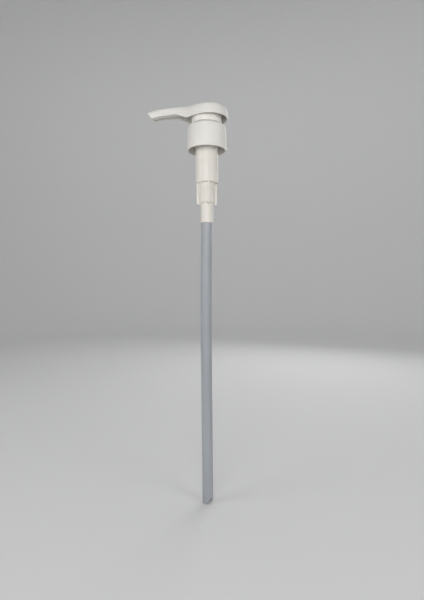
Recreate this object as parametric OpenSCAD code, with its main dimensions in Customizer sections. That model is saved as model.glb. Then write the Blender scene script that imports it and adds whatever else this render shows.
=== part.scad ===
// Screw-on condiment pump for a wide-mouth jug.
// The frame is +Z up along the pump's axis, with the nozzle towards -X. The origin is on the axis,
// in the plane where the gasket's underside meets the rim of the jug's neck. The head is locked down.

/* [Closure] */
// Outside diameter of the closure at its open rim
closure_rim_d = 42.3; // [41:0.1:52]
// Outside diameter of the closure just under its shoulder
closure_top_d = 40.5; // [38:0.1:40.8]
// Height of the closure from its rim to its top face
closure_h = 26.8; // [22:0.2:40]
// Wall thickness of the closure's skirt
closure_wall = 1.9; // [1.2:0.1:2.2]
// Height of the sloping shoulder
shoulder_h = 3.1; // [2.5:0.1:5]
// Width of the sloping shoulder
shoulder_w = 4.3; // [2:0.1:5]
// Thickness of the closure's roof over the flange
closure_roof = 2.6; // [2.2:0.1:4]
// Diameter of the jug neck's thread over its crests
neck_thread_d = 37.3; // [33:0.1:37.4]
// Distance from one turn of the neck thread to the next
neck_thread_pitch = 4.23; // [3:0.01:5]
// Number of turns of the neck thread
neck_thread_turns = 1.5; // [1:0.25:2.5]

/* [Gasket and flange] */
// Outside diameter of the gasket
gasket_d = 34.4; // [32:0.1:34.8]
// Thickness of the gasket
gasket_t = 1.2; // [0.8:0.1:2]
// Outside diameter of the housing's flange
flange_d = 33.5; // [30:0.1:34]
// Thickness of the housing's flange
flange_t = 1.4; // [1:0.1:2.4]

/* [Housing] */
// Outside diameter of the pump barrel
barrel_d = 24.1; // [19.8:0.1:25]
// Wall thickness of the pump barrel
barrel_wall = 1.6; // [1.2:0.1:1.9]
// Depth of the barrel's step under the neck plane
barrel_depth = 55.2; // [51:0.1:80]
// Outside diameter of the housing where the lock collar snaps on
neck_d = 26.4; // [25.6:0.1:26.8]
// Outside diameter of the spring chamber under the barrel
chamber_d = 17; // [16.4:0.1:20]
// Wall thickness of the spring chamber
chamber_wall = 1.5; // [1:0.1:1.8]
// Length of the spring chamber
chamber_h = 21.5; // [21.4:0.1:40]
// Number of ribs around the spring chamber
rib_count = 4; // [3:1:8]
// Diameter over the ribs
rib_span = 22.5; // [19:0.1:23.6]
// Thickness of each rib
rib_t = 1.7; // [1:0.1:3]
// How far the ribs' feet reach below the spring chamber
rib_drop = 1.4; // [0:0.1:3]
// Radius of each rib's rounded foot
rib_foot_r = 2.2; // [0.5:0.1:2.4]
// Turn of the ribs about the axis
rib_turn = 26.5; // [0:0.5:90]
// Length of the tube socket under the spring chamber
socket_h = 20.7; // [15:0.1:30]
// Wall thickness of the tube socket
socket_wall = 0.95; // [0.8:0.05:1.2]
// Diameter of the vent hole in the barrel
vent_d = 1.6; // [1:0.1:2.5]

/* [Dip tube] */
// Outside diameter of the dip tube
tube_d = 11.8; // [10:0.1:14.2]
// Wall thickness of the dip tube
tube_wall = 1.3; // [0.8:0.1:1.8]
// Distance from the neck plane down to the tube's end
tube_reach = 402.5; // [150:0.5:450]
// Width of the bevel on the tube's end
bevel_w = 4; // [1:0.1:6]
// Height of the bevel on the tube's end
bevel_h = 5.9; // [2:0.1:12]
// Direction of the bevel, about the axis from +X
bevel_turn = -30; // [-180:1:180]

/* [Lock collar] */
// Outside diameter of the lock collar
collar_d = 32; // [30:0.1:33]
// Height of the lock collar
collar_h = 11.8; // [11:0.1:12]
// Diameter of the cup in the collar that the head locks into
cup_d = 25.2; // [24.4:0.1:26]
// Depth of that cup
cup_depth = 4.6; // [3:0.1:5]
// Thickness of the collar's web
web_t = 1.4; // [1:0.1:2]

/* [Pump head] */
// Distance from the axis to the back of the head
head_back = 22.2; // [21:0.1:24]
// Half the width of the head's round body
head_r = 19; // [18:0.1:21]
// Height of the head's rim above the neck plane
head_rim_z = 11.4; // [11.2:0.1:13]
// Height of the head's crown above its rim
head_h = 14; // [13.8:0.1:18]
// Rise of the nozzle's top above the crown
nozzle_rise = 0.9; // [0:0.1:1.5]
// Outward draft of the head's side wall at its rim
head_draft = 0.6; // [0:0.1:1]
// Height of the upright side wall above the rim
head_side_h = 5.5; // [3:0.1:8]
// Wall thickness of the head's shell
head_wall = 1.6; // [1.2:0.1:1.8]
// Exponent that sets how square the crown's shoulders are
crown_power = 2.5; // [2:0.1:4]
// Distance from the axis to the middle of the nozzle's tip
nozzle_reach = 62.7; // [50:0.1:80]
// Half the nozzle's width where it leaves the round body
nozzle_root_half = 8; // [6.6:0.1:9]
// Half the nozzle's width at its tip
nozzle_tip_half = 5.2; // [5:0.1:7]
// Height of the nozzle's lower edges above the head's rim
nozzle_lift = 5.7; // [5:0.1:6.4]
// Fall of the nozzle's top at the tip
tip_drop = 2.9; // [1:0.1:4]
// Diameter of the flow tube inside the nozzle
flow_tube_d = 7; // [6.6:0.1:8]
// Diameter of the passage through the nozzle
outlet_d = 4.8; // [3:0.1:5]

/* [Piston and stem] */
// Outside diameter of the stem
stem_d = 11.5; // [9.6:0.1:12]
// Bore of the stem
stem_bore_d = 8; // [7:0.1:8.4]
// Length of the piston seal
piston_h = 12; // [8:0.1:14]
// Stroke of the pump from locked down to fully up
stroke = 24; // [10:0.5:28]

/* [Valves and spring] */
// Diameter of the inlet ball
inlet_ball_d = 8.6; // [7.6:0.1:9]
// Diameter of the outlet ball
outlet_ball_d = 6.4; // [5.8:0.1:6.8]
// Diameter of the spring's wire
wire_d = 1.2; // [0.8:0.1:1.4]
// Number of turns in the spring
spring_turns = 8; // [5:1:10]

/* [Clearances] */
// Radial running clearance of the stem and the piston
running_gap = 0.05; // [0.02:0.01:0.1]
// Radial clearance where one fixed piece is pressed into another
seat_gap = 0.03; // [0.01:0.01:0.05]
// Radial clearance of the closure around the housing's neck
neck_gap = 0.4; // [0.2:0.05:0.5]
// End clearance between pieces that turn on each other
end_gap = 0.3; // [0.1:0.05:0.5]

/* [Hidden] */
$fn = 96;
cut = 1;                                          // overshoot of cutting shapes

// Levels of the closure, flange and collar
flange_z = gasket_t;
flange_top_z = flange_z + flange_t;
closure_ceiling_z = flange_top_z + 0.1;
closure_top_z = closure_ceiling_z + closure_roof;
closure_rim_z = closure_top_z - closure_h;
closure_bore_r = closure_rim_d / 2 - closure_wall - 0.1;
ceiling_bevel = 1.6;
collar_z = closure_top_z + end_gap;
collar_top_z = collar_z + collar_h;
web_top_z = collar_top_z - cup_depth;
web_z = web_top_z - web_t;

// The housing's levels and bores
barrel_bore_r = barrel_d / 2 - barrel_wall;
barrel_floor_t = 1.5;
barrel_floor_z = barrel_floor_t - barrel_depth;
barrel_land_h = 2;
neck_top_z = web_z - seat_gap;
chamber_bore_r = chamber_d / 2 - chamber_wall;
chamber_z = -barrel_depth - chamber_h;
chamber_floor_t = 1.6;
chamber_floor_z = chamber_z + chamber_floor_t;
seat_h = 3;
port_r = inlet_ball_d * 0.3;
port_z = chamber_floor_z - seat_h;
port_h = 2.5;
socket_shoulder_z = port_z - port_h;
socket_bore_r = tube_d / 2 + seat_gap;
socket_r = socket_bore_r + socket_wall;
socket_z = chamber_z - socket_h;
gasket_bore_r = barrel_d / 2 + 0.5;
land_r = gasket_bore_r - 0.1;

// The inlet valve: a ball on a cone at 45 degrees, under a cage
inlet_ball_r = inlet_ball_d / 2;
inlet_ball_z = port_z - port_r + (inlet_ball_r + seat_gap) * sqrt(2);
inlet_lift = 1.5;
cage_r = chamber_bore_r - seat_gap;
cage_bore_r = inlet_ball_r + 1.3;
cage_bar_t = 1.2;
cage_bar_w = 2.4;
cage_top_z = inlet_ball_z + inlet_ball_r + inlet_lift + 0.1 + cage_bar_t;

// The piston, its rod and the stem
piston_z = barrel_floor_z + 0.8;
piston_top_z = piston_z + piston_h;
piston_r = barrel_bore_r - running_gap;
stem_r = stem_d / 2;
stem_bore_r = stem_bore_d / 2;
stem_top_z = web_top_z + 5.1;
stem_foot_r = 7.6;
stem_foot_t = 1.6;
stem_foot_z = piston_top_z + 0.1;
rod_r = stem_bore_r - seat_gap;
rod_bore_r = 2.3;
rod_flange_r = chamber_bore_r - 0.7;
rod_flange_t = 1.5;
rod_z = piston_z - 0.3 - rod_flange_t;
rod_top_z = piston_top_z + 14;

// The guide sleeve ends, with its wiper ring, where the stem's foot stops the stroke
stem_seal_h = 2.4;
guide_z = stem_foot_z + stem_foot_t + stroke + end_gap + stem_seal_h;
vent_z = guide_z - stem_seal_h - vent_d;

// The outlet valve in the top of the stem
outlet_ball_r = outlet_ball_d / 2;
outlet_chamber_r = outlet_ball_r + 1;
outlet_port_r = outlet_ball_r * 0.75;
outlet_port_h = 1.5;
outlet_port_z = stem_top_z - 8.2;
outlet_seat_z = outlet_port_z + outlet_port_h;
outlet_seat_h = outlet_chamber_r - outlet_port_r;
outlet_ball_z = outlet_seat_z - outlet_port_r + (outlet_ball_r + seat_gap) * sqrt(2);

// The spring between the cage and the rod's flange
spring_r = chamber_bore_r - 0.6 - wire_d / 2;
spring_z = cage_top_z;
spring_top_z = rod_z;

// The head's shell: plan outline, top line and lower edge, as functions of x
head_cx = head_back - head_r;
head_top_z = head_rim_z + head_h;
side_top_z = head_rim_z + head_side_h;
neck_x = -32;                                     // where the nozzle's straight part begins
edge_rise_x = -16;                                // where the lower edge begins to climb
edge_rise_len = 18;                               // length over which it climbs
bend_x = -48;                                     // where the nozzle's top begins to fall
tip_slant = 0.87;                                 // lean of the tip's cut, x per z
tip_mid_z = head_rim_z + 8;
tip_blend = 11;                                   // length over which the sections lean into the cut
crown_rings = [0.985, 0.94, 0.86, 0.73, 0.55, 0.33, 0.12];
side_steps = 15;
back_steps = 9;

function unit(t) = min(1, max(0, t));
function ease(t) = (1 - cos(180 * unit(t))) / 2;
function nozzle_half(x) = nozzle_tip_half
    + (nozzle_root_half - nozzle_tip_half) * unit((x + nozzle_reach) / (neck_x + nozzle_reach));
function half_width(x) = nozzle_half(x)
    + (head_r - nozzle_half(x)) * body_share(x);
function bend(x) = pow(max(0, (bend_x - x) / (bend_x + nozzle_reach)), 2);
function body_share(x) = ease((x - neck_x) / (head_cx - neck_x));
function climb(x) = ease((edge_rise_x - x) / edge_rise_len);
function top_z(x) = head_top_z + nozzle_rise * climb(x) - tip_drop * bend(x);
function lower_z(x) = head_rim_z + nozzle_lift * climb(x) - tip_drop * bend(x) * 0.45;
function side_z(x) = side_top_z + (nozzle_lift - 3) * climb(x) - tip_drop * bend(x) * 0.7;
// The outline from the tip along one side, round the back and home. The flare widens the round body.
function outline(inset, flare) = let(end_x = -nozzle_reach + inset, r = head_r - inset + flare,
    half = [for (i = [0 : side_steps]) let(x = end_x + (head_cx - end_x) * i / side_steps)
        [x, half_width(x) - inset + flare * body_share(x)]])
    concat([for (q = half) [q.x, -q.y]],
        [for (i = [1 : 2 * back_steps - 1]) let(a = -90 + 180 * i / (2 * back_steps))
            [head_cx + r * cos(a), r * sin(a)]],
        [for (i = [side_steps : -1 : 0]) half[i]]);
function lean(p) = [p.x - tip_slant * (p.z - tip_mid_z) * ease((-nozzle_reach + tip_blend - p.x) / tip_blend),
    p.y, p.z];
// One ring of the shell: k runs from 1 at the side to 0 at the middle of the crown
function crown_ring(inset, k) = [for (q = outline(inset, 0)) let(
    x = q.x > head_cx ? head_cx + (q.x - head_cx) * k : q.x,
    z = side_z(x) + (top_z(x) - inset - side_z(x)) * pow(1 - pow(k, crown_power), 1 / crown_power))
        lean([x, q.y * k, z])];
function rim_ring(inset) = [for (q = outline(inset, head_draft)) lean([q.x, q.y, lower_z(q.x)])];
function shell_rings() = concat([rim_ring(0), crown_ring(0, 1)], [for (k = crown_rings) crown_ring(0, k)]);
function lining_rings() = concat([rim_ring(head_wall), crown_ring(head_wall, 1)],
    [for (k = crown_rings) crown_ring(head_wall, k)]);
function flat(lists) = [for (l = lists) for (p = l) p];

// A ridge that climbs a helix on a wall of radius r: inward when depth is negative
module thread_ridge(r, depth, pitch, turns, root_w, z) {
    steps = ceil(turns * 28);
    crest_w = root_w * 0.45;
    points = [for (i = [0 : steps]) let(
        a = 360 * turns * i / steps,
        grow = min(1, 6 * min(i, steps - i) / steps + 0.08),
        zc = z + pitch * turns * i / steps,
        sink = depth > 0 ? -0.15 : 0.15)
        each [for (c = [[sink, -root_w / 2], [depth * grow, -crest_w / 2], [depth * grow, crest_w / 2],
                        [sink, root_w / 2]])
            [(r + c.x) * cos(a), (r + c.x) * sin(a), zc + c.y]]];
    side = [for (i = [0 : steps - 1], j = [0 : 3]) let(a = 4 * i + j, b = 4 * i + (j + 1) % 4)
        each [[a, b, b + 4], [a, b + 4, a + 4]]];
    last = 4 * steps;
    faces = concat(side, [[2, 1, 0], [3, 2, 0]], [[last, last + 1, last + 2], [last, last + 2, last + 3]]);
    polyhedron(points = points,
        faces = depth > 0 ? faces : [for (f = faces) [f[2], f[1], f[0]]]);
}

// What hangs from the head's crown: the lock plug, the stem's socket with the ball's stop, the flow tube
module head_core(plug_z, flow_z, elbow_x, tip_angle, tip_len) {
    plug_r = cup_d / 2 - 0.9;
    plug_wall = 1.5;
    boss_r = stem_r + 1.7;
    chamber_top_z = head_top_z - head_wall - 0.6;
    root_z = head_top_z - head_wall + 0.8;
    elbow_end = 0.5;
    stop_w = 1.2;
    difference() {
        union() {
            translate([0, 0, plug_z]) difference() {
                cylinder(r = plug_r, h = root_z - plug_z);
                translate([0, 0, -cut]) cylinder(r = plug_r - plug_wall, h = root_z - plug_z - 1);
            }
            translate([0, 0, plug_z]) cylinder(r = boss_r, h = root_z - plug_z - 0.5);
            translate([0, 0, flow_z]) rotate([0, -90, 0]) cylinder(d = flow_tube_d, h = elbow_end - elbow_x);
            intersection() {
                translate([elbow_x, 0, flow_z]) rotate([0, -90 - tip_angle, 0])
                    cylinder(d = flow_tube_d - 0.8, h = tip_len);
                translate([-nozzle_reach, 0, tip_mid_z]) rotate([0, -atan(tip_slant), 0])
                    translate([0.1, -head_r, -head_h]) cube([2 * nozzle_reach, 2 * head_r, 3 * head_h]);
            }
        }
        translate([0, 0, plug_z - cut]) cylinder(r = stem_r + seat_gap, h = stem_top_z - plug_z + cut);
        difference() {
            translate([0, 0, stem_top_z - cut])
                cylinder(r = outlet_chamber_r, h = chamber_top_z - stem_top_z + cut);
            translate([-stem_r, -stop_w / 2, stem_top_z + 0.1]) cube([2 * stem_r, stop_w, stop_w]);
        }
        translate([0, 0, flow_z]) rotate([0, -90, 0]) cylinder(d = outlet_d + 0.4, h = elbow_end - elbow_x);
    }
}

// The actuator: an open-bottomed shell that narrows into the nozzle, with its core inside
module pump_head() {
    plug_z = web_top_z + 0.5;
    flow_z = head_top_z - head_wall - flow_tube_d / 2 + 1.2;
    tip_angle = 13;
    elbow_x = -50;
    tip_len = 30;
    n = len(outline(0, 0));
    rings = concat(shell_rings(), lining_rings());
    layers = len(crown_rings) + 2;
    crown_base = (layers - 1) * n;
    lining_base = layers * n;
    shell_faces = [for (j = [0 : layers - 2], i = [0 : n - 1]) let(a = j * n + i, b = j * n + (i + 1) % n)
        each [[a, b + n, b], [a, a + n, b + n]]];
    lining_faces = [for (f = shell_faces) [f[2] + lining_base, f[1] + lining_base, f[0] + lining_base]];
    rim_faces = [for (i = [0 : n - 1]) let(b = (i + 1) % n)
        each [[i, b, b + lining_base], [i, b + lining_base, i + lining_base]]];
    mid = (n - 1) / 2;
    crown_faces = concat(
        [for (i = [0 : mid - 2]) let(a = crown_base + i, b = crown_base + n - 1 - i)
            each [[a, b, b - 1], [a, b - 1, a + 1]]],
        [[crown_base + mid - 1, crown_base + mid + 1, crown_base + mid]]);
    lining_crown_faces = [for (f = crown_faces) [f[2] + lining_base, f[1] + lining_base, f[0] + lining_base]];
    color([0.87, 0.86, 0.83]) difference() {
        union() {
            polyhedron(points = flat(rings),
                faces = concat(shell_faces, lining_faces, rim_faces, crown_faces, lining_crown_faces));
            head_core(plug_z, flow_z, elbow_x, tip_angle, tip_len);
        }
        translate([elbow_x, 0, flow_z]) rotate([0, -90 - tip_angle, 0]) cylinder(d = outlet_d, h = tip_len);
    }
}

// The ball that closes the top of the stem
module outlet_ball() {
    color([0.75, 0.76, 0.78]) translate([0, 0, outlet_ball_z]) sphere(r = outlet_ball_r);
}

// The hollow stem, with the outlet valve's seat near its top and a foot that pushes the piston seal
module stem() {
    color([0.9, 0.9, 0.88]) difference() {
        union() {
            translate([0, 0, stem_foot_z]) cylinder(r = stem_r, h = stem_top_z - stem_foot_z);
            translate([0, 0, stem_foot_z]) cylinder(r = stem_foot_r, h = stem_foot_t);
        }
        translate([0, 0, stem_foot_z - cut]) cylinder(r = stem_bore_r, h = outlet_port_z - stem_foot_z + cut);
        translate([0, 0, outlet_port_z - cut]) cylinder(r = outlet_port_r, h = outlet_port_h + 2 * cut);
        translate([0, 0, outlet_seat_z])
            cylinder(r1 = outlet_port_r, r2 = outlet_chamber_r, h = outlet_seat_h);
        translate([0, 0, outlet_seat_z + outlet_seat_h])
            cylinder(r = outlet_chamber_r, h = stem_top_z - outlet_seat_z);
    }
}

// The collar that snaps on the housing's neck, holds the closure down and takes the head's lock
module lock_collar() {
    edge = 0.8;
    sleeve_wall = 1.9;
    guide_r = barrel_bore_r - seat_gap;
    relief_r = guide_r - sleeve_wall;
    color([0.89, 0.88, 0.85]) difference() {
        union() {
            translate([0, 0, collar_z]) cylinder(d = collar_d, h = collar_h - edge);
            translate([0, 0, collar_top_z - edge]) cylinder(d1 = collar_d, d2 = collar_d - 2 * edge, h = edge);
            translate([0, 0, guide_z]) cylinder(r = guide_r, h = web_top_z - guide_z);
        }
        translate([0, 0, collar_z - cut]) difference() {
            cylinder(r = neck_d / 2 + seat_gap, h = web_z - collar_z + cut);
            translate([0, 0, -cut]) cylinder(r = guide_r, h = collar_h + 2 * cut);
        }
        translate([0, 0, web_top_z]) cylinder(d = cup_d, h = cup_depth + cut);
        translate([0, 0, guide_z - cut]) cylinder(r = stem_r + running_gap, h = web_top_z - guide_z + 2 * cut);
        translate([0, 0, guide_z + 1.5]) cylinder(r = relief_r, h = web_z - guide_z - 3);
    }
}

// The wiper ring under the guide sleeve, which keeps air and product apart at the stem
module stem_seal() {
    inner_r = stem_r + running_gap;
    outer_r = barrel_bore_r - 0.2;
    lip_t = 0.8;
    color([0.82, 0.84, 0.84]) rotate_extrude() polygon([
        [inner_r, guide_z - stem_seal_h], [inner_r + lip_t, guide_z - stem_seal_h],
        [inner_r + lip_t, guide_z - stem_seal_h / 2], [outer_r, guide_z - stem_seal_h / 2],
        [outer_r, guide_z], [inner_r, guide_z]]);
}

// The internally threaded closure that clamps the pump to the jug
module closure() {
    ridge_depth = closure_bore_r - neck_thread_d / 2 + 0.6;
    color([0.87, 0.86, 0.83]) union() {
        rotate_extrude() polygon([
            [neck_d / 2 + neck_gap, closure_ceiling_z], [closure_bore_r - ceiling_bevel, closure_ceiling_z],
            [closure_bore_r, closure_ceiling_z - ceiling_bevel],
            [closure_bore_r, closure_rim_z], [closure_rim_d / 2 - 0.4, closure_rim_z],
            [closure_rim_d / 2, closure_rim_z + 0.4],
            [closure_top_d / 2, closure_top_z - shoulder_h],
            [closure_top_d / 2 - shoulder_w * 0.3, closure_top_z - shoulder_h * 0.55],
            [closure_top_d / 2 - shoulder_w * 0.8, closure_top_z - shoulder_h * 0.1],
            [closure_top_d / 2 - shoulder_w, closure_top_z],
            [neck_d / 2 + neck_gap, closure_top_z]]);
        thread_ridge(closure_bore_r, -ridge_depth, neck_thread_pitch, neck_thread_turns, 2.2,
            -neck_thread_pitch * (neck_thread_turns + 0.9));
    }
}

// The soft washer that the flange presses on the rim of the jug's neck
module gasket() {
    color([0.8, 0.8, 0.78]) difference() {
        cylinder(d = gasket_d, h = gasket_t);
        translate([0, 0, -cut]) cylinder(r = gasket_bore_r, h = gasket_t + 2 * cut);
    }
}

// One rib of the spring chamber, with a rounded foot
module chamber_rib() {
    rib_r = rib_span / 2;
    root_r = socket_r - 0.4;
    foot_z = chamber_z - rib_drop;
    rib_h = chamber_h + rib_drop;
    rotate([90, 0, 0]) translate([0, 0, -rib_t / 2]) linear_extrude(rib_t) union() {
        translate([root_r, foot_z + rib_foot_r]) square([rib_r - root_r, rib_h - rib_foot_r + 0.5]);
        translate([root_r, foot_z]) square([rib_r - rib_foot_r - root_r, rib_h]);
        translate([rib_r - rib_foot_r, foot_z + rib_foot_r]) circle(r = rib_foot_r);
    }
}

// The pump's body: neck and flange, barrel, ribbed spring chamber with the valve seat, tube socket
module housing() {
    color([0.88, 0.86, 0.81]) difference() {
        union() {
            translate([0, 0, flange_z]) cylinder(d = flange_d, h = flange_t);
            translate([0, 0, flange_z]) cylinder(d = neck_d, h = neck_top_z - flange_z);
            translate([0, 0, -barrel_land_h]) cylinder(r = land_r, h = barrel_land_h + flange_z + flange_t / 2);
            translate([0, 0, -barrel_depth]) cylinder(d = barrel_d, h = barrel_depth);
            translate([0, 0, chamber_z]) cylinder(d = chamber_d, h = chamber_h + 0.5);
            translate([0, 0, socket_z]) cylinder(r = socket_r, h = socket_h + 0.5);
            rotate(rib_turn) for (i = [0 : rib_count - 1]) rotate(360 * i / rib_count) chamber_rib();
        }
        translate([0, 0, barrel_floor_z]) cylinder(r = barrel_bore_r, h = neck_top_z - barrel_floor_z + cut);
        translate([0, 0, chamber_floor_z]) cylinder(r = chamber_bore_r, h = barrel_depth);
        translate([0, 0, port_z]) cylinder(r1 = port_r, r2 = port_r + seat_h, h = seat_h);
        translate([0, 0, socket_shoulder_z - cut]) cylinder(r = port_r, h = port_h + 2 * cut);
        translate([0, 0, socket_z - cut]) cylinder(r = socket_bore_r, h = socket_shoulder_z - socket_z + cut);
        translate([0, 0, vent_z]) rotate([0, 90, 0]) cylinder(d = vent_d, h = barrel_d);
    }
}

// The flexible piston, with a lip at each end that wipes the barrel
module piston_seal() {
    core_r = piston_r - 2.2;
    lip_h = 3;
    color([0.84, 0.85, 0.85]) difference() {
        union() {
            translate([0, 0, piston_z + 0.6]) cylinder(r = core_r, h = piston_h - 0.6);
            for (z = [piston_z + 0.6, piston_top_z - lip_h]) translate([0, 0, z]) cylinder(r = piston_r, h = lip_h);
        }
        translate([0, 0, piston_z - cut]) cylinder(r = rod_r + 0.5, h = piston_h + 2 * cut);
        translate([0, 0, piston_top_z - lip_h + 1]) difference() {
            cylinder(r = piston_r - 0.9, h = lip_h);
            cylinder(r = core_r, h = lip_h);
        }
    }
}

// The rod that plugs into the stem, carries the piston seal and takes the spring's push
module piston_rod() {
    window_h = 3;
    color([0.9, 0.9, 0.88]) difference() {
        union() {
            translate([0, 0, rod_z]) cylinder(r = rod_flange_r, h = rod_flange_t);
            translate([0, 0, rod_z]) cylinder(r = rod_r, h = rod_top_z - rod_z);
        }
        translate([0, 0, piston_z - cut]) cylinder(r = rod_bore_r, h = rod_top_z - piston_z + 2 * cut);
        translate([-rod_flange_r, -1, piston_z - 0.9]) cube([2 * rod_flange_r, 2, window_h]);
    }
}

// The return spring, squeezed while the head is locked down
module spring() {
    sides = 6;
    per_turn = 16;
    steps = spring_turns * per_turn;
    wire_r = wire_d / 2;
    low = spring_z + wire_r + 0.02;
    high = spring_top_z - wire_r - 0.02;
    points = [for (i = [0 : steps], j = [0 : sides - 1]) let(
        a = 360 * i / per_turn, b = 360 * j / sides,
        z = low + (high - low) * ease(unit(i / steps)) * 0.12 + (high - low) * 0.88 * i / steps,
        r = spring_r + wire_r * cos(b))
        [r * cos(a), r * sin(a), z + wire_r * sin(b)]];
    side = [for (i = [0 : steps - 1], j = [0 : sides - 1]) let(
        a = i * sides + j, b = i * sides + (j + 1) % sides)
        each [[a, b, b + sides], [a, b + sides, a + sides]]];
    last = steps * sides;
    color([0.7, 0.71, 0.73]) polyhedron(points = points, faces = concat(side,
        [[for (j = [sides - 1 : -1 : 0]) j]], [[for (j = [0 : sides - 1]) last + j]]));
}

// The cage over the inlet ball, which also carries the foot of the spring
module ball_cage() {
    slot_w = 4;
    slot_h = 4;
    color([0.83, 0.84, 0.83]) {
        difference() {
            translate([0, 0, chamber_floor_z]) cylinder(r = cage_r, h = cage_top_z - chamber_floor_z);
            translate([0, 0, chamber_floor_z - cut]) cylinder(r = cage_bore_r, h = chamber_h);
            for (a = [0, 90]) rotate(a) translate([-chamber_d / 2, -slot_w / 2, chamber_floor_z + 1.2])
                cube([chamber_d, slot_w, slot_h]);
        }
        translate([0, 0, cage_top_z - cage_bar_t]) intersection() {
            translate([-cage_r, -cage_bar_w / 2, 0]) cube([2 * cage_r, cage_bar_w, cage_bar_t]);
            cylinder(r = cage_r - 0.3, h = cage_bar_t);
        }
    }
}

// The ball that closes the inlet
module inlet_ball() {
    color([0.75, 0.76, 0.78]) translate([0, 0, inlet_ball_z]) sphere(r = inlet_ball_r);
}

// The dip tube, cut square with a bevel on one side of its lower end
module dip_tube() {
    color([0.72, 0.75, 0.78, 0.85]) difference() {
        translate([0, 0, -tube_reach]) cylinder(d = tube_d, h = socket_shoulder_z + tube_reach);
        translate([0, 0, -tube_reach - cut]) cylinder(d = tube_d - 2 * tube_wall, h = tube_reach);
        rotate(bevel_turn) translate([tube_d / 2 - bevel_w, 0, -tube_reach])
            rotate([0, atan(bevel_w / bevel_h), 0]) translate([0, -tube_d, -bevel_h])
                cube([tube_d, 2 * tube_d, 3 * bevel_h]);
    }
}

pump_head();
outlet_ball();
stem();
lock_collar();
stem_seal();
closure();
gasket();
housing();
piston_seal();
piston_rod();
spring();
ball_cage();
inlet_ball();
dip_tube();
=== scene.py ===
import math

import bpy
from mathutils import Matrix, Vector


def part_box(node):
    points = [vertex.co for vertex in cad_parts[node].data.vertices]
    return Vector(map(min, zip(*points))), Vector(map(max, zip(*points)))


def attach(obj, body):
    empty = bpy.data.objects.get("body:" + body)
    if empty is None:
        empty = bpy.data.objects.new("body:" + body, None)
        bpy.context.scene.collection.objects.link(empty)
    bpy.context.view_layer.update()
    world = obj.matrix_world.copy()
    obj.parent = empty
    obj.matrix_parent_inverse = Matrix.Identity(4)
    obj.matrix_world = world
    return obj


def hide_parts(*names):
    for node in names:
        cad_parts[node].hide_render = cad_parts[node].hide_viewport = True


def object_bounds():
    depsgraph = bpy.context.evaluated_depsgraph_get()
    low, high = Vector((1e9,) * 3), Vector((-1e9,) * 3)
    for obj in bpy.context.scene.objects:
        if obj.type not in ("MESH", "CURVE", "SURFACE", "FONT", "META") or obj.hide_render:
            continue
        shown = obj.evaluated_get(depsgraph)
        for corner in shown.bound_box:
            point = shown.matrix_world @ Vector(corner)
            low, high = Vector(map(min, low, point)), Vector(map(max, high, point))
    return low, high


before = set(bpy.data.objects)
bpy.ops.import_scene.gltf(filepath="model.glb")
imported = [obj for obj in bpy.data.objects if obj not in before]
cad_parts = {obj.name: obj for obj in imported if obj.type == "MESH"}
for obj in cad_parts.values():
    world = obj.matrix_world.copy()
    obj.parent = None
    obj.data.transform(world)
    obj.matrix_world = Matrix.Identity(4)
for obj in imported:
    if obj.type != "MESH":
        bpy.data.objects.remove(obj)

cad_low, cad_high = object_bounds()


# ---------------------------------------------------------------------------------------------
# Studio. A pale bowl of seamless paper stands round the pump, which is held upright over it. Soft
# lamps stand in front, beside and behind it, and two hang above. The camera is 43 cm away.
# ---------------------------------------------------------------------------------------------

MM = 0.001


def lathe(name, profile, steps=128, closed=True):
    """Turns a profile of (radius, height) points in millimetres about the pump's axis."""
    count = len(profile)
    points, faces = [], []
    for i in range(steps):
        a = 2 * math.pi * i / steps
        points += [(r * MM * math.cos(a), r * MM * math.sin(a), z * MM) for r, z in profile]
    for i in range(steps):
        here, there = i * count, (i + 1) % steps * count
        for j in range(count if closed else count - 1):
            k = (j + 1) % count
            faces.append((here + j, there + j, there + k, here + k))
    mesh = bpy.data.meshes.new(name)
    mesh.from_pydata(points, [], faces)
    piece = bpy.data.objects.new(name, mesh)
    bpy.context.scene.collection.objects.link(piece)
    return piece


def shade(piece, angle=35):
    """Smooth shading that keeps the edges sharper than the angle."""
    for face in piece.data.polygons:
        face.use_smooth = True
    bpy.context.view_layer.objects.active = piece
    piece.select_set(True)
    bpy.ops.object.shade_smooth_by_angle(angle=math.radians(angle))
    piece.select_set(False)


floor_z = cad_low[2] / MM - 0.4
floor_r = 1500
bend_r = 700
wall_h = 2600
paper_profile = [(0.5, floor_z), (floor_r, floor_z)]
paper_profile += [(floor_r + bend_r * math.sin(t), floor_z + bend_r * (1 - math.cos(t)))
                  for t in [math.pi / 2 * k / 16 for k in range(1, 17)]]
paper_profile += [(floor_r + bend_r, floor_z + bend_r + wall_h)]
paper = lathe("studio_paper", paper_profile, steps=96, closed=False)
shade(paper)

paper_finish = bpy.data.materials.new("studio_paper")
paper_finish.use_nodes = True
paper_shader = paper_finish.node_tree.nodes["Principled BSDF"]
paper_shader.inputs["Base Color"].default_value = (0.78, 0.78, 0.78, 1)
paper_shader.inputs["Roughness"].default_value = 0.9
paper.data.materials.append(paper_finish)

world = bpy.data.worlds.new("studio")
bpy.context.scene.world = world
bpy.context.scene.view_settings.view_transform = "Standard"
world.use_nodes = True
world.node_tree.nodes["Background"].inputs["Color"].default_value = (0.9, 0.92, 0.95, 1)
world.node_tree.nodes["Background"].inputs["Strength"].default_value = 0.2


def softbox(name, place, aim, size, power, tint):
    """A soft rectangular lamp at a place, facing an aim point; both in metres."""
    lamp = bpy.data.lights.new(name, "AREA")
    lamp.shape = "RECTANGLE"
    lamp.size, lamp.size_y = size
    lamp.energy = power
    lamp.color = tint
    holder = bpy.data.objects.new(name, lamp)
    holder.location = place
    holder.rotation_euler = (Vector(aim) - Vector(place)).to_track_quat("-Z", "Y").to_euler()
    holder.visible_camera = False
    bpy.context.scene.collection.objects.link(holder)


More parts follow.
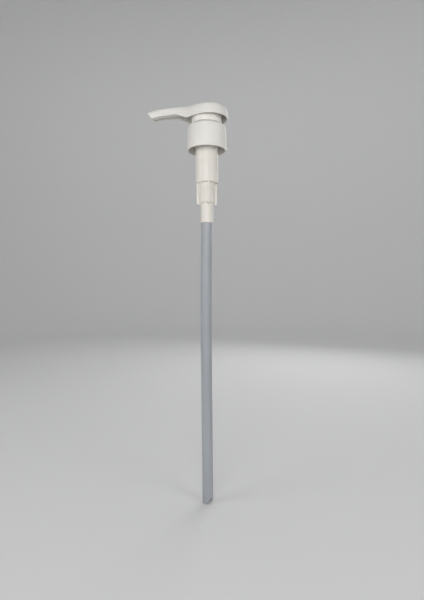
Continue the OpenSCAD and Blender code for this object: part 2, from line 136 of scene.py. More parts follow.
softbox("key_lamp", (0.1, -0.95, 0.05), (0, 0, -0.12), (0.6, 0.5), 3.6, (1.0, 0.985, 0.96))
softbox("strip_lamp", (0.2, -0.9, -0.02), (0, 0, 0), (0.07, 0.45), 0.75, (1.0, 0.98, 0.95))
softbox("left_lamp", (-0.85, -0.6, 0.05), (0, 0, -0.15), (0.5, 0.8), 2.6, (0.97, 0.985, 1.0))
softbox("right_lamp", (0.9, -0.5, 0.05), (0, 0, -0.15), (0.4, 0.8), 2.2, (0.98, 0.99, 1.0))
softbox("top_lamp", (0.0, -0.1, 1.1), (0, 0, 0), (0.8, 0.8), 1.6, (1.0, 1.0, 1.0))
softbox("back_lamp", (0.2, 0.95, 0.25), (0, 0, -0.1), (0.6, 0.6), 2.2, (1.0, 1.0, 1.0))
softbox("wall_lamp", (0.0, 0.5, 1.3), (0, 2.2, 0.3), (1.6, 0.5), 8, (1.0, 1.0, 1.0))

camera_turn = math.radians(12.5)      # towards +X from straight in front
camera_tilt = math.radians(2.4)       # the head end leans to the camera
camera_roll = math.radians(-0.15)
camera_distance = 0.431               # to the middle of the closure's rim
aim_side = -0.0056                    # where that middle lies, right of and above the view's middle
aim_up = 0.1582
rim_middle = Vector((0, 0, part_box("closure")[0][2]))

back = Vector((math.sin(camera_turn), -math.cos(camera_turn), 0))
right = Vector((math.cos(camera_turn), math.sin(camera_turn), 0))
up = Vector((0, 0, 1))
lens_back = back * math.cos(camera_tilt) + up * math.sin(camera_tilt)
lens_up = up * math.cos(camera_tilt) - back * math.sin(camera_tilt)
lens_right = right * math.cos(camera_roll) + lens_up * math.sin(camera_roll)
lens_up = lens_up * math.cos(camera_roll) - right * math.sin(camera_roll)
camera_place = rim_middle - lens_right * aim_side - lens_up * aim_up + lens_back * camera_distance

camera_data = bpy.data.cameras.new("camera")
camera_data.sensor_fit = "AUTO"
camera_data.sensor_width = 36
camera_data.lens = 24.3
camera_data.clip_start = 0.01
camera = bpy.data.objects.new("camera", camera_data)
camera.matrix_world = Matrix.Translation(camera_place) @ Matrix(
    (lens_right, lens_up, lens_back)).transposed().to_4x4()
bpy.context.scene.collection.objects.link(camera)
bpy.context.scene.camera = camera


# ---------------------------------------------------------------------------------------------
# Housing. One white polypropylene moulding: the neck and flange, the barrel, the narrow ribbed
# chamber for the spring and the inlet valve, and the socket for the tube. It hangs in the closure.
# ---------------------------------------------------------------------------------------------

def rounded(corners, segments=5):
    """A closed outline in which each (x, y, radius) corner becomes an arc."""
    outline = []
    for i, (x, y, radius) in enumerate(corners):
        here = Vector((x, y))
        before = Vector(corners[i - 1][:2]) - here
        after = Vector(corners[(i + 1) % len(corners)][:2]) - here
        if radius <= 0:
            outline.append((x, y))
            continue
        half = before.angle(after) / 2
        reach = min(radius / math.tan(half), 0.49 * before.length, 0.49 * after.length)
        radius = reach * math.tan(half)
        middle = here + (before.normalized() + after.normalized()).normalized() * (radius / math.sin(half))
        start = here + before.normalized() * reach - middle
        turn = start.angle_signed(here + after.normalized() * reach - middle)
        for k in range(segments + 1):
            spoke = start.copy()
            spoke.rotate(Matrix.Rotation(-turn * k / segments, 2))
            outline.append(tuple(middle + spoke))
    return outline


def noise(tree, scale, detail, place, stretch=(1, 1, 1)):
    """A noise texture in the object's own space, metres times scale."""
    nodes, links = tree.nodes, tree.links
    space = nodes.new("ShaderNodeTexCoord")
    squeeze = nodes.new("ShaderNodeMapping")
    squeeze.inputs["Scale"].default_value = stretch
    squeeze.inputs["Location"].default_value = place
    links.new(space.outputs["Object"], squeeze.inputs["Vector"])
    texture = nodes.new("ShaderNodeTexNoise")
    texture.inputs["Scale"].default_value = scale
    texture.inputs["Detail"].default_value = detail
    links.new(squeeze.outputs["Vector"], texture.inputs["Vector"])
    return texture.outputs["Fac"]


def ramp(tree, value, stops):
    """A colour ramp over a value; stops are (position, colour)."""
    node = tree.nodes.new("ShaderNodeValToRGB")
    tree.links.new(value, node.inputs["Fac"])
    elements = node.color_ramp.elements
    elements[0].position, elements[0].color = stops[0][0], (*stops[0][1], 1)
    elements[1].position, elements[1].color = stops[-1][0], (*stops[-1][1], 1)
    for position, colour in stops[1:-1]:
        elements.new(position).color = (*colour, 1)
    return node.outputs["Color"]


def grey(tree, value, low, high):
    """A value spread from low to high."""
    node = tree.nodes.new("ShaderNodeMapRange")
    node.inputs["From Min"].default_value = 0.3
    node.inputs["From Max"].default_value = 0.7
    node.inputs["To Min"].default_value = low
    node.inputs["To Max"].default_value = high
    tree.links.new(value, node.inputs["Value"])
    return node.outputs["Result"]


def moulded_plastic(name, light, dark, gloss, grain, glow=0.08, seed=0.0):
    """Moulded plastic: cloudy colour, uneven gloss, a fine moulded grain and faint flow lines."""
    material = bpy.data.materials.new(name)
    material.use_nodes = True
    tree = material.node_tree
    shader = tree.nodes["Principled BSDF"]
    cloud = noise(tree, 45, 4, (seed, 0, 0))
    tree.links.new(ramp(tree, cloud, [(0.3, dark), (0.7, light)]), shader.inputs["Base Color"])
    tree.links.new(grey(tree, noise(tree, 160, 3, (0, seed, 0)), gloss - 0.05, gloss + 0.06),
                   shader.inputs["Roughness"])
    fine = noise(tree, 2600, 2, (0, 0, seed))
    flow = noise(tree, 90, 2, (seed, seed, 0), stretch=(1, 1, 6))
    both = tree.nodes.new("ShaderNodeMath")
    both.operation = "MULTIPLY_ADD"
    both.inputs[1].default_value = 3.0
    tree.links.new(flow, both.inputs[0])
    tree.links.new(fine, both.inputs[2])
    bump = tree.nodes.new("ShaderNodeBump")
    bump.inputs["Strength"].default_value = grain
    bump.inputs["Distance"].default_value = 0.00012
    tree.links.new(both.outputs["Value"], bump.inputs["Height"])
    tree.links.new(bump.outputs["Normal"], shader.inputs["Normal"])
    shader.inputs["IOR"].default_value = 1.49
    shader.inputs["Subsurface Weight"].default_value = glow
    shader.inputs["Subsurface Radius"].default_value = (1.0, 0.9, 0.75)
    shader.inputs["Subsurface Scale"].default_value = 0.0015
    return material


housing_low, housing_high = (Vector(corner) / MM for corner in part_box("housing"))
flange_r = housing_high.x
flange_t = 1.4
flange_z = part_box("gasket")[1][2] / MM
neck_top_z = housing_high.z
neck_r = 13.2
seat_gap = 0.03
barrel_r = 12.05
barrel_bore_r = 10.45
land_r = 12.45
land_z = -2.0
step_z = -55.2
chamber_z = -76.7
chamber_r = 8.5
chamber_bore_r = 7.0
chamber_floor_t = 1.6
chamber_floor_z = chamber_z + chamber_floor_t
seat_h = 3.0
port_z = chamber_floor_z - seat_h
port_r = 2.58
port_h = 2.5
socket_shoulder_z = port_z - port_h
socket_bore_r = 5.93
socket_r = 6.88
socket_z = housing_low.z

housing = lathe("housing", rounded([
    (barrel_bore_r, neck_top_z, 0.3), (neck_r, neck_top_z, 0.3), (neck_r, flange_z + flange_t, 0.2),
    (flange_r, flange_z + flange_t, 0.3), (flange_r, flange_z, 0.3), (land_r, flange_z, 0.1),
    (land_r, land_z, 0.3), (barrel_r, land_z - 0.3, 0.3), (barrel_r, step_z, 0.7),
    (chamber_r, step_z - 0.5, 0.5), (chamber_r, chamber_z + 0.6, 0.9), (socket_r, chamber_z, 0.4),
    (socket_r, socket_z, 0.35), (socket_bore_r, socket_z, 0.3), (socket_bore_r, socket_shoulder_z, 0.1),
    (port_r, socket_shoulder_z, 0.1), (port_r, port_z, 0.1), (port_r + seat_h, chamber_floor_z, 0.1),
    (chamber_bore_r, chamber_floor_z, 0.1), (chamber_bore_r, step_z + 1.5, 0.1),
    (barrel_bore_r, step_z + 1.5, 0.4)]))


def extrude_into(piece, outline, thickness, place, edge=0.15):
    """Adds a flat plate with softened edges to a piece. The outline is (x, y) in millimetres."""
    layers = [(-thickness / 2, edge), (-thickness / 2 + edge * 0.3, edge * 0.3), (-thickness / 2 + edge, 0),
              (thickness / 2 - edge, 0), (thickness / 2 - edge * 0.3, edge * 0.3), (thickness / 2, edge)]
    count = len(outline)
    middle = sum((Vector(p) for p in outline), Vector((0, 0))) / count
    points, faces = [], []
    for depth, inset in layers:
        for p in outline:
            inward = (middle - Vector(p)).normalized() * inset
            points.append(place @ Vector((p[0] + inward.x, p[1] + inward.y, depth)) * MM)
    for layer in range(len(layers) - 1):
        for i in range(count):
            a, b = layer * count + i, layer * count + (i + 1) % count
            faces.append((a, b, b + count, a + count))
    faces += [tuple(range(count - 1, -1, -1)), tuple(range(len(points) - count, len(points)))]
    extra = bpy.data.meshes.new("extra")
    extra.from_pydata(points, [], faces)
    joined = bpy.data.objects.new("extra", extra)
    bpy.context.scene.collection.objects.link(joined)
    with bpy.context.temp_override(active_object=piece, selected_editable_objects=[piece, joined]):
        bpy.ops.object.join()


rib_count = 4
rib_turn = 26.5
rib_t = 1.7
rib_r = 11.25
rib_foot_r = 2.2
rib_drop = 1.4
rib_foot_z = chamber_z - rib_drop
rib_root_r = socket_r - 0.2
rib_outline = rounded([(rib_root_r, rib_foot_z, 0), (rib_r - 0.15, rib_foot_z, rib_foot_r),
                       (rib_r, step_z + 0.4, 0), (chamber_r - 0.8, step_z + 0.4, 0),
                       (chamber_r - 0.8, chamber_z + 1.0, 0), (rib_root_r, chamber_z + 1.0, 0)], segments=8)
for i in range(rib_count):
    stand = Matrix.Rotation(math.radians(rib_turn + 360 * i / rib_count), 3, "Z")
    extrude_into(housing, rib_outline, rib_t, stand @ Matrix.Rotation(math.radians(90), 3, "X"), 0.3)
shade(housing)

housing_plastic = moulded_plastic(
    "cream_polypropylene", light=(0.765, 0.74, 0.69), dark=(0.72, 0.69, 0.635),
    gloss=0.36, grain=0.22, glow=0.15, seed=1.3)
housing.data.materials.clear()
housing.data.materials.append(housing_plastic)
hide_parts("housing")
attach(housing, "pump_body")


# ---------------------------------------------------------------------------------------------
# Inlet valve and spring. A steel ball rests on the cone at the foot of the chamber under a small
# natural polyethylene cage, and the stainless return spring stands on the cage.
# ---------------------------------------------------------------------------------------------

def steel(name, tone, gloss, seed):
    """Drawn or ground stainless steel with fine directional marks."""
    material = bpy.data.materials.new(name)
    material.use_nodes = True
    tree = material.node_tree
    shader = tree.nodes["Principled BSDF"]
    marks = noise(tree, 900, 3, (seed, 0, 0), stretch=(1, 1, 5))
    tree.links.new(ramp(tree, marks, [(0.35, [c * 0.85 for c in tone]), (0.65, tone)]),
                   shader.inputs["Base Color"])
    tree.links.new(grey(tree, marks, gloss - 0.05, gloss + 0.08), shader.inputs["Roughness"])
    shader.inputs["Metallic"].default_value = 1.0
    return material


def finish_node(name, material):
    """Gives a CAD node that stays in view its finish."""
    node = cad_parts[name]
    node.data.materials.clear()
    node.data.materials.append(material)
    shade(node)


ball_steel = steel("ground_steel", (0.62, 0.62, 0.63), 0.16, 2.0)
spring_steel = steel("spring_wire", (0.5, 0.5, 0.51), 0.28, 5.0)
seal_plastic = moulded_plastic(
    "natural_polyethylene", light=(0.68, 0.7, 0.7), dark=(0.62, 0.64, 0.64),
    gloss=0.42, grain=0.2, glow=0.3, seed=4.1)
finish_node("inlet_ball", ball_steel)
finish_node("spring", spring_steel)
finish_node("ball_cage", seal_plastic)


# ---------------------------------------------------------------------------------------------
# Dip tube. Extruded natural low-density polyethylene, cloudy and a little bowed from the coil,
# pushed into the socket. Its lower end is cut square with a bevel on one side.
# ---------------------------------------------------------------------------------------------

tube_low, tube_high = (Vector(corner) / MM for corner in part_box("dip_tube"))
tube_r = tube_high.x
tube_wall = 1.3
tube_bore_r = tube_r - tube_wall
tube_end_z = tube_low.z
tube_top_z = tube_high.z
bevel_w = 4.0
bevel_h = 5.9
bevel_turn = math.radians(-30)
tube_bow = 1.2
tube_sides = 144
tube_rings = 90


def tube_cut_z(r, a):
    """Height of the tube's cut end at a radius and an angle."""
    along = r * math.cos(a - bevel_turn) - (tube_r - bevel_w)
    return tube_end_z + max(0, along) * bevel_h / bevel_w


def tube_point(r, a, t):
    """A point of the wall; t runs from 0 at the top to 1 at the cut end."""
    z = tube_top_z + (tube_cut_z(r, a) - tube_top_z) * t
    free = max(0, (socket_z - z) / (socket_z - tube_end_z))
    bow = tube_bow * 6.75 * free * (1 - free) ** 2
    return ((r * math.cos(a) - bow) * MM, r * math.sin(a) * MM, z * MM)


tube_steps = [(k / tube_rings) for k in range(tube_rings)] + [0.9995, 1.0]
tube_loops = [(tube_r, t) for t in tube_steps[:-1]] + [(tube_r - 0.12, 1.0), (tube_bore_r + 0.12, 1.0)]
tube_loops += [(tube_bore_r, t) for t in reversed(tube_steps[:-1])]
tube_angles = [2 * math.pi * i / tube_sides for i in range(tube_sides)]
tube_points = [tube_point(r, a, t) for r, t in tube_loops for a in tube_angles]
tube_faces = []
for loop in range(len(tube_loops)):
    following = (loop + 1) % len(tube_loops)
    for i in range(tube_sides):
        j = (i + 1) % tube_sides
        tube_faces.append((loop * tube_sides + i, following * tube_sides + i,
                           following * tube_sides + j, loop * tube_sides + j))
tube_mesh = bpy.data.meshes.new("dip_tube")
tube_mesh.from_pydata(tube_points, [], tube_faces)
tube = bpy.data.objects.new("dip_tube_wall", tube_mesh)
bpy.context.scene.collection.objects.link(tube)
shade(tube)

tube_plastic = bpy.data.materials.new("natural_tube")
tube_plastic.use_nodes = True
tree = tube_plastic.node_tree
shader = tree.nodes["Principled BSDF"]
haze = noise(tree, 28, 3, (0, 0, 7), stretch=(1, 1, 0.25))
tree.links.new(ramp(tree, haze, [(0.3, (0.57, 0.6, 0.64)), (0.7, (0.66, 0.685, 0.72))]),
               shader.inputs["Base Color"])
draw_lines = noise(tree, 700, 2, (3, 0, 0), stretch=(1, 1, 0.01))
tree.links.new(grey(tree, noise(tree, 120, 3, (0, 5, 0)), 0.3, 0.44), shader.inputs["Roughness"])
tube_bump = tree.nodes.new("ShaderNodeBump")
tube_bump.inputs["Strength"].default_value = 0.2
tube_bump.inputs["Distance"].default_value = 0.0001
tree.links.new(draw_lines, tube_bump.inputs["Height"])
tree.links.new(tube_bump.outputs["Normal"], shader.inputs["Normal"])
shader.inputs["IOR"].default_value = 1.51
shader.inputs["Transmission Weight"].default_value = 0.55
shader.inputs["Subsurface Weight"].default_value = 0.25
shader.inputs["Subsurface Radius"].default_value = (0.9, 1.0, 1.1)
shader.inputs["Subsurface Scale"].default_value = 0.002
tube.data.materials.append(tube_plastic)
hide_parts("dip_tube")
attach(tube, "pump_body")


# ---------------------------------------------------------------------------------------------
# Gasket. A soft washer of fine foamed polyethylene, pressed between the housing's flange and the
# rim of the jug's neck. It is pushed on over the barrel and sits loosely on the land at its top.
# ---------------------------------------------------------------------------------------------

gasket_low, gasket_high = (Vector(corner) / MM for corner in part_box("gasket"))
gasket_bore_r = 12.55
gasket = lathe("gasket", rounded([
    (gasket_bore_r, gasket_low.z, 0.25), (gasket_high.x, gasket_low.z, 0.35),
    (gasket_high.x, gasket_high.z, 0.35), (gasket_bore_r, gasket_high.z, 0.25)]))
shade(gasket)

foam = bpy.data.materials.new("foamed_washer")
foam.use_nodes = True
tree = foam.node_tree
shader = tree.nodes["Principled BSDF"]
cells = tree.nodes.new("ShaderNodeTexVoronoi")
cells.inputs["Scale"].default_value = 2200
space = tree.nodes.new("ShaderNodeTexCoord")
tree.links.new(space.outputs["Object"], cells.inputs["Vector"])
tree.links.new(ramp(tree, cells.outputs["Distance"], [(0.0, (0.6, 0.59, 0.56)), (0.5, (0.75, 0.74, 0.71))]),
               shader.inputs["Base Color"])
foam_bump = tree.nodes.new("ShaderNodeBump")
foam_bump.inputs["Strength"].default_value = 0.5
foam_bump.inputs["Distance"].default_value = 0.0001
tree.links.new(cells.outputs["Distance"], foam_bump.inputs["Height"])
tree.links.new(foam_bump.outputs["Normal"], shader.inputs["Normal"])
shader.inputs["Roughness"].default_value = 0.8
gasket.data.materials.append(foam)
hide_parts("gasket")
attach(gasket, "pump_body")


# ---------------------------------------------------------------------------------------------
# Closure. A smooth white polypropylene screw cap with a slight draft and a rounded, sloping
# shoulder. Its thread is moulded inside the skirt, and it turns freely on the housing's neck.
# ---------------------------------------------------------------------------------------------

closure_low, closure_high = (Vector(corner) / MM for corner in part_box("closure"))
rim_r = closure_high.x
rim_z = closure_low.z
roof_z = closure_high.z
top_r = 20.25
skirt_bore_r = 19.15
neck_gap = 0.4
hole_r = neck_r + neck_gap
flange_gap = 0.1
ceiling_z = flange_z + flange_t + flange_gap
shoulder_h = 3.1
shoulder_w = 4.3
ceiling_bevel = 1.6
thread_crest_r = 18.05
thread_pitch = 4.23
thread_turns = 1.5
thread_root_w = 2.2
thread_z = -thread_pitch * (thread_turns + 0.9)

closure = lathe("closure", rounded([
    (hole_r, ceiling_z, 0.3), (skirt_bore_r - ceiling_bevel, ceiling_z, 0.8),
    (skirt_bore_r, ceiling_z - ceiling_bevel, 0.8), (skirt_bore_r, rim_z, 0.5), (rim_r, rim_z, 0.45),
    (top_r, roof_z - shoulder_h, 1.2), (top_r - shoulder_w * 0.5, roof_z - shoulder_h * 0.33, 2.5),
    (top_r - shoulder_w, roof_z, 0.8), (hole_r, roof_z, 0.3)], segments=7), steps=180)


def helix_ridge(name, wall_r, crest_r, pitch, turns, root_w, low_z, per_turn=72):
    """A moulded thread with a rounded crest and run-out ends, sunk a little into its wall."""
    steps = int(turns * per_turn)
    inward = -1 if crest_r < wall_r else 1
    profile = [(-0.1, -0.5), (0.35, -0.36), (0.8, -0.24), (1.0, -0.1), (1.0, 0.1), (0.8, 0.24),
               (0.35, 0.36), (-0.1, 0.5)]
    depth = abs(crest_r - wall_r)
    points, faces = [], []
    for i in range(steps + 1):
        a = 2 * math.pi * i / per_turn
        grow = min(1.0, 10 * min(i, steps - i) / steps + 0.02)
        for out, side in profile:
            r = wall_r + inward * depth * (out * grow if out > 0 else out)
            z = low_z + pitch * i / per_turn + side * root_w * (0.6 + 0.4 * grow)
            points.append((r * MM * math.cos(a), r * MM * math.sin(a), z * MM))
    n = len(profile)
    for i in range(steps):
        for j in range(n):
            a, b = i * n + j, i * n + (j + 1) % n
            face = (a, b, b + n, a + n)
            faces.append(face if inward > 0 else face[::-1])
    ends = [tuple(range(n - 1, -1, -1)), tuple(range(steps * n, steps * n + n))]
    faces += ends if inward > 0 else [end[::-1] for end in ends]
    mesh = bpy.data.meshes.new(name)
    mesh.from_pydata(points, [], faces)
    ridge = bpy.data.objects.new(name, mesh)
    bpy.context.scene.collection.objects.link(ridge)
    return ridge


def weld(piece, *extras):
    """Makes one mesh of a piece and what is moulded with it."""
    with bpy.context.temp_override(active_object=piece, selected_editable_objects=[piece, *extras]):
        bpy.ops.object.join()


neck_thread = helix_ridge("neck_thread", skirt_bore_r, thread_crest_r, thread_pitch, thread_turns,
                          thread_root_w, thread_z)
weld(closure, neck_thread)
shade(closure)
closure_plastic = moulded_plastic(
    "white_polypropylene", light=(0.76, 0.745, 0.71), dark=(0.71, 0.695, 0.66),
    gloss=0.44, grain=0.3, seed=2.2)
closure.data.materials.append(closure_plastic)
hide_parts("closure")
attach(closure, "closure")


# ---------------------------------------------------------------------------------------------
# Lock collar. A glossy white polypropylene ring that snaps on the housing's neck over the closure.
# Its cup takes the head's lock thread, and its sleeve guides the stem.
# ---------------------------------------------------------------------------------------------

collar_low, collar_high = (Vector(corner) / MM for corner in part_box("lock_collar"))
collar_r = collar_high.x
end_gap = 0.3
collar_z = roof_z + end_gap
collar_top_z = collar_high.z
cup_r = 12.6
cup_depth = 4.6
web_top_z = collar_top_z - cup_depth
web_t = 1.4
web_z = web_top_z - web_t
guide_r = barrel_bore_r - seat_gap
guide_z = collar_low.z
stem_hole_r = 5.8
sleeve_wall = 1.9
relief_r = guide_r - sleeve_wall
lock_pitch = 3.2
lock_turns = 0.9
lock_root_w = 1.1
lock_depth = 0.3

collar = lathe("lock_collar", rounded([
    (stem_hole_r, web_top_z, 0.3), (cup_r, web_top_z, 0.4), (cup_r, collar_top_z, 0.35),
    (collar_r, collar_top_z, 0.7), (collar_r, collar_z, 0.45), (neck_r + seat_gap, collar_z, 0.3),
    (neck_r + seat_gap, web_z, 0.1), (guide_r, web_z, 0.1), (guide_r, guide_z, 0.3),
    (stem_hole_r, guide_z, 0.2),
    (stem_hole_r, guide_z + 1.5, 0.1), (relief_r, guide_z + 1.5, 0.3), (relief_r, web_z - 1.5, 0.3),
    (stem_hole_r, web_z - 1.5, 0.1)]), steps=160)
weld(collar, helix_ridge("cup_thread", cup_r, cup_r - lock_depth, lock_pitch, lock_turns, lock_root_w,
                         web_top_z + 0.9))
shade(collar)
gloss_plastic = moulded_plastic(
    "glossy_polypropylene", light=(0.81, 0.785, 0.745), dark=(0.775, 0.75, 0.705),
    gloss=0.27, grain=0.1, glow=0.12, seed=3.4)
collar.data.materials.append(gloss_plastic)
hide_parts("lock_collar")
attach(collar, "pump_body")
finish_node("stem_seal", seal_plastic)


# ---------------------------------------------------------------------------------------------
# Piston. A flexible natural polyethylene piston on a white rod, which plugs into the stem and
# takes the push of the spring.
# ---------------------------------------------------------------------------------------------

stem_plastic = moulded_plastic(
    "stem_polypropylene", light=(0.8, 0.79, 0.76), dark=(0.76, 0.75, 0.72),
    gloss=0.26, grain=0.12, glow=0.15, seed=6.0)
finish_node("piston_seal", seal_plastic)
finish_node("piston_rod", stem_plastic)


# ---------------------------------------------------------------------------------------------
# Stem. A smooth white polypropylene shaft pressed into the head. The outlet ball sits in a cup at
# its top, and its foot pushes the piston down.
# ---------------------------------------------------------------------------------------------

stem_low, stem_high = (Vector(corner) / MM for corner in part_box("stem"))
stem_r = 5.75
stem_bore_r = 4.0
stem_foot_r = stem_high.x
stem_foot_t = 1.6
stem_top_z = stem_high.z
ball_cup_r = 4.2
ball_cup_depth = 6.7
seat_z = stem_top_z - ball_cup_depth
seat_r = 2.4
stem = lathe("stem", rounded([
    (stem_bore_r, stem_low.z, 0.2), (stem_foot_r, stem_low.z, 0.3),
    (stem_foot_r, stem_low.z + stem_foot_t, 0.3),
    (stem_r, stem_low.z + stem_foot_t, 0.4), (stem_r, stem_top_z, 0.3), (ball_cup_r, stem_top_z, 0.3),
    (ball_cup_r, seat_z + ball_cup_r - seat_r, 0.2), (seat_r, seat_z, 0.2), (seat_r, seat_z - 1.5, 0.1),
    (stem_bore_r, seat_z - 1.5, 0.1)]), steps=96)
shade(stem)
stem.data.materials.append(stem_plastic)
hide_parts("stem")
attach(stem, "actuator")
finish_node("outlet_ball", ball_steel)


# ---------------------------------------------------------------------------------------------
# Pump head. One satin white polypropylene moulding: a round, open-bottomed shell that narrows into
# a long nozzle, with the lock plug, the stem's socket and the flow tube hanging from its crown.
# ---------------------------------------------------------------------------------------------

head_low, head_high = (Vector(corner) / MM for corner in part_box("pump_head"))
head_rim_z = head_low.z
head_r = 19.0
head_draft = 0.6
head_cx = head_high.x - head_draft - head_r
nozzle_rise = 0.9
head_top_z = head_high.z - nozzle_rise
head_side_h = 5.5
side_top_z = head_rim_z + head_side_h
head_wall = 1.6
crown_power = 2.5
nozzle_reach = 62.7
nozzle_root_half = 8.0
nozzle_tip_half = 5.2
nozzle_lift = 5.7
tip_drop = 2.9
neck_x = -32
edge_rise_x = -16
edge_rise_len = 18
bend_x = -48
tip_slant = 0.87
tip_mid_z = head_rim_z + 8
tip_blend = 11


def ease(t):
    return (1 - math.cos(math.pi * min(1, max(0, t)))) / 2


def bend(x):
    return max(0, (bend_x - x) / (bend_x + nozzle_reach)) ** 2


def climb(x):
    return ease((edge_rise_x - x) / edge_rise_len)


def body_share(x):
    return ease((x - neck_x) / (head_cx - neck_x))


def half_width(x):
    straight = nozzle_tip_half + (nozzle_root_half - nozzle_tip_half) * min(
        1, max(0, (x + nozzle_reach) / (neck_x + nozzle_reach)))
    return straight + (head_r - straight) * body_share(x)


def top_z(x):
    return head_top_z + nozzle_rise * climb(x) - tip_drop * bend(x)


def lower_z(x):
    return head_rim_z + nozzle_lift * climb(x) - tip_drop * bend(x) * 0.45


def side_z(x):
    return side_top_z + (nozzle_lift - 3) * climb(x) - tip_drop * bend(x) * 0.7


def head_outline(inset, flare, along=72, round_back=40):
    """The head's plan outline from the tip along one side, round the back and home."""
    end_x = -nozzle_reach + inset
    r = head_r - inset + flare
    spots = [end_x + (head_cx - end_x) * i / along for i in range(along + 1)]
    half = [(x, half_width(x) - inset + flare * body_share(x)) for x in spots]
    arc = [math.radians(-90 + 180 * i / round_back) for i in range(1, round_back)]
    return ([(x, -y) for x, y in half] + [(head_cx + r * math.cos(a), r * math.sin(a)) for a in arc]
            + half[::-1])


def leaned(x, y, z):
    """Leans the sections near the tip into its slanting cut."""
    share = ease((-nozzle_reach + tip_blend - x) / tip_blend)
    return ((x - tip_slant * (z - tip_mid_z) * share) * MM, y * MM, z * MM)


def wall_ring(inset, flare, lift):
    """A ring of the side wall: flare is its share of the draft, lift its share of the height."""
    return [leaned(x, y, lower_z(x) + (side_z(x) - lower_z(x)) * lift)
            for x, y in head_outline(inset, head_draft * flare)]


def crown_ring(inset, k):
    """A ring over the crown: k is 1 at the side wall and 0 along the middle."""
    ring = []
    for x, y in head_outline(inset, 0):
        x = head_cx + (x - head_cx) * k if x > head_cx else x
        rise = (1 - k ** crown_power) ** (1 / crown_power)
        ring.append(leaned(x, y * k, side_z(x) + (top_z(x) - inset - side_z(x)) * rise))
    return ring


crown_steps = [math.cos(math.radians(a)) for a in range(4, 84, 5)] + [0.06]


def shell_rings(inset, lip_inset):
    """The rings of the outer shell or its lining, from the lip up the side wall and over the crown."""
    rings = [wall_ring(lip_inset, 1, 0), wall_ring(inset, 1, 0.03)]
    rings += [wall_ring(inset, 1 - t, t) for t in (0.3, 0.6, 0.85)]
    return rings + [crown_ring(inset, k) for k in [1] + crown_steps]


outer_rings = shell_rings(0, 0.1)
inner_rings = shell_rings(head_wall, head_wall - 0.1)

ring_size = len(outer_rings[0])
ring_count = len(outer_rings)
shell_points = [p for ring in outer_rings + inner_rings for p in ring]
shell_faces = []
for j in range(ring_count - 1):
    for i in range(ring_size):
        a, b = j * ring_size + i, j * ring_size + (i + 1) % ring_size
        shell_faces.append((a, b, b + ring_size, a + ring_size))
middle = (ring_size - 1) // 2
crown_base = (ring_count - 1) * ring_size
for i in range(middle - 1):
    a, b = crown_base + i, crown_base + ring_size - 1 - i
    shell_faces.append((a, a + 1, b - 1, b))
shell_faces.append((crown_base + middle - 1, crown_base + middle, crown_base + middle + 1))
lining_base = ring_count * ring_size
shell_faces += [tuple(lining_base + v for v in reversed(face)) for face in shell_faces]
for i in range(ring_size):
    j = (i + 1) % ring_size
    shell_faces.append((j, i, lining_base + i, lining_base + j))
shell_mesh = bpy.data.meshes.new("pump_head_shell")
shell_mesh.from_pydata(shell_points, [], shell_faces)
head = bpy.data.objects.new("pump_head_shell", shell_mesh)
bpy.context.scene.collection.objects.link(head)

plug_r = cup_r - 0.9
plug_wall = 1.5
plug_z = web_top_z + 0.5
boss_r = stem_r + 1.7
root_z = head_top_z - head_wall + 0.8
socket_hole_r = stem_r + seat_gap
ball_room_top_z = head_top_z - head_wall - 0.6
plug = lathe("lock_plug", rounded([
    (plug_r - plug_wall, plug_z, 0.3), (plug_r, plug_z, 0.5), (plug_r, root_z - 0.3, 0),
    (plug_r - plug_wall, root_z - 0.3, 0)]))
boss = lathe("stem_socket", rounded([
    (socket_hole_r, plug_z, 0.3), (boss_r, plug_z, 0.4), (boss_r, root_z - 0.5, 0), (0.05, root_z - 0.5, 0),
    (0.05, ball_room_top_z, 0), (ball_cup_r, ball_room_top_z, 0.5), (ball_cup_r, stem_top_z, 0.1),
    (socket_hole_r, stem_top_z, 0.1)]))
plug_ridge = helix_ridge("plug_thread", plug_r, plug_r + lock_depth, lock_pitch, lock_turns, lock_root_w,
                         plug_z + 0.8)


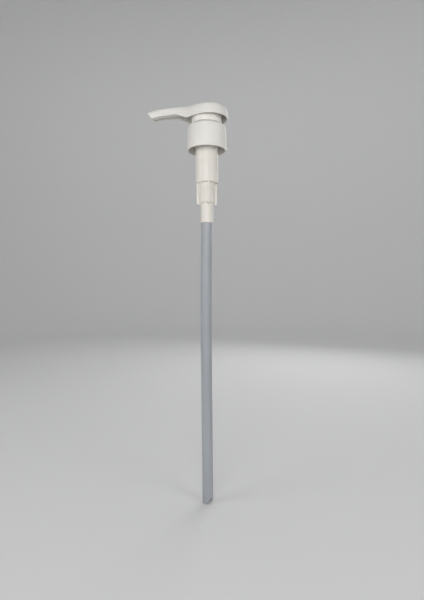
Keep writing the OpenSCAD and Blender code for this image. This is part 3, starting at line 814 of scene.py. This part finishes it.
def pipe(name, path, outer_r, inner_r, sides=48):
    """A pipe along a path of (x, z) points, cut at its far end by the tip's slant."""
    loops = []
    for r, stops in ((outer_r, path), (inner_r, path[::-1])):
        for k, (x, z) in enumerate(stops):
            whole = stops if r == outer_r else path[::-1]
            before, after = whole[max(0, k - 1)], whole[min(len(whole) - 1, k + 1)]
            run = Vector((after[0] - before[0], after[1] - before[1])).normalized()
            if r == inner_r:
                run = -run
            loops.append([(x + run.y * r * math.sin(a), r * math.cos(a), z - run.x * r * math.sin(a))
                          for a in [2 * math.pi * i / sides for i in range(sides)]])
    points = []
    for loop in loops:
        for x, y, z in loop:
            limit = -nozzle_reach - tip_slant * (z - tip_mid_z) + 0.12
            points.append((max(x, limit) * MM, y * MM, z * MM))
    faces = []
    for j in range(len(loops)):
        following = (j + 1) % len(loops)
        for i in range(sides):
            k = (i + 1) % sides
            faces.append((j * sides + i, j * sides + k, following * sides + k, following * sides + i))
    mesh = bpy.data.meshes.new(name)
    mesh.from_pydata(points, [], faces)
    piece = bpy.data.objects.new(name, mesh)
    bpy.context.scene.collection.objects.link(piece)
    return piece


flow_z = head_top_z - head_wall - 2.3
flow_tube_r = 3.4
passage_r = 2.4
elbow_x = -50
tip_angle = math.radians(13)
flow_path = [(-boss_r + 1.0, flow_z), (-20, flow_z), (-36, flow_z), (elbow_x + 3, flow_z)]
flow_path += [(elbow_x + 3 - 6 * t, flow_z - 6 * t * t * math.tan(tip_angle) / 2)
              for t in (0.25, 0.5, 0.75)]
flow_path += [(elbow_x - d, flow_z - d * math.tan(tip_angle)) for d in (3, 7, 10, 14, 20)]
flow_tube = pipe("flow_tube", flow_path, flow_tube_r, passage_r)

weld(head, plug, boss, plug_ridge, flow_tube)
shade(head, 40)
head_plastic = moulded_plastic(
    "head_polypropylene", light=(0.77, 0.755, 0.72), dark=(0.72, 0.705, 0.67),
    gloss=0.34, grain=0.26, glow=0.1, seed=0.7)
head.data.materials.append(head_plastic)
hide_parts("pump_head")
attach(head, "actuator")
